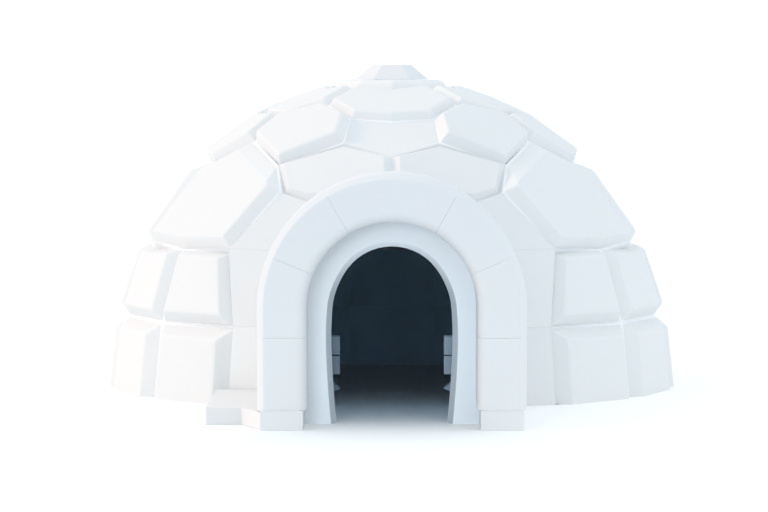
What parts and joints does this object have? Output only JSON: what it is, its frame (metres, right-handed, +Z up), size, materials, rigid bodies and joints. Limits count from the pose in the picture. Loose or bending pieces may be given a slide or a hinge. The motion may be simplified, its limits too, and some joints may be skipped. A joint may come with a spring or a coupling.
{
  "type": "igloo",
  "caption": "Snow-block igloo: a faceted dome of raised blocks over a hollow room, with a vaulted entrance passage, arch ring and recessed door frame",
  "frame": {"origin": "on the ground, at the middle of the whole building's box", "axes": "+Z up, the entrance faces -Y, +X to the right of someone facing +Y from outside the entrance"},
  "size_m": [4.3754, 5.8276, 2.487],
  "materials": {
    "dome_snow": "compacted wind-packed snow, cut and smoothed, matt",
    "arch_snow": "dressed snow blocks, smooth and matt, with fine joints",
    "frame_snow": "snow rubbed smooth by hand, slightly glazed",
    "passage_snow": "compacted snow, glazed inside",
    "jamb_ice": "blue-grey packed ice"
  },
  "bodies": {
    "root": {"arch_foot_left": "arch_snow", "arch_foot_right": "arch_snow", "arch_haunch_left": "arch_snow", "arch_haunch_right": "arch_snow", "arch_keystone": "arch_snow", "arch_leg_left": "arch_snow", "arch_leg_right": "arch_snow", "arch_shoulder_left": "arch_snow", "arch_shoulder_right": "arch_snow", "big_slabs_even": "dome_snow", "big_slabs_odd": "dome_snow", "course_1_blocks_even": "dome_snow", "course_1_blocks_odd": "dome_snow", "course_2_blocks_even": "dome_snow", "course_2_blocks_odd": "dome_snow", "crown_block": "dome_snow", "crown_cap": "dome_snow", "entrance_panels_high": "dome_snow", "entrance_panels_low": "dome_snow", "footing_left": "arch_snow", "frame_crown": "frame_snow", "frame_jamb_left": "frame_snow", "frame_jamb_right": "frame_snow", "front_recessed_block": "dome_snow", "jamb_blocks_left": "jamb_ice", "jamb_blocks_right": "jamb_ice", "jamb_corbel_left": "jamb_ice", "jamb_corbel_right": "jamb_ice", "lintel_left": "dome_snow", "lintel_right": "dome_snow", "passage_crown_back": "passage_snow", "passage_crown_front": "passage_snow", "passage_haunches_back": "passage_snow", "passage_haunches_front": "passage_snow", "passage_walls_back": "passage_snow", "passage_walls_front": "passage_snow", "spandrel_left": "dome_snow", "spandrel_right": "dome_snow", "top_block_back_left": "dome_snow", "top_block_back_right": "dome_snow", "top_blocks_sides": "dome_snow", "top_front_block": "dome_snow", "upper_ring_blocks_even": "dome_snow", "upper_ring_blocks_odd": "dome_snow"}
  },
  "joints": []
}
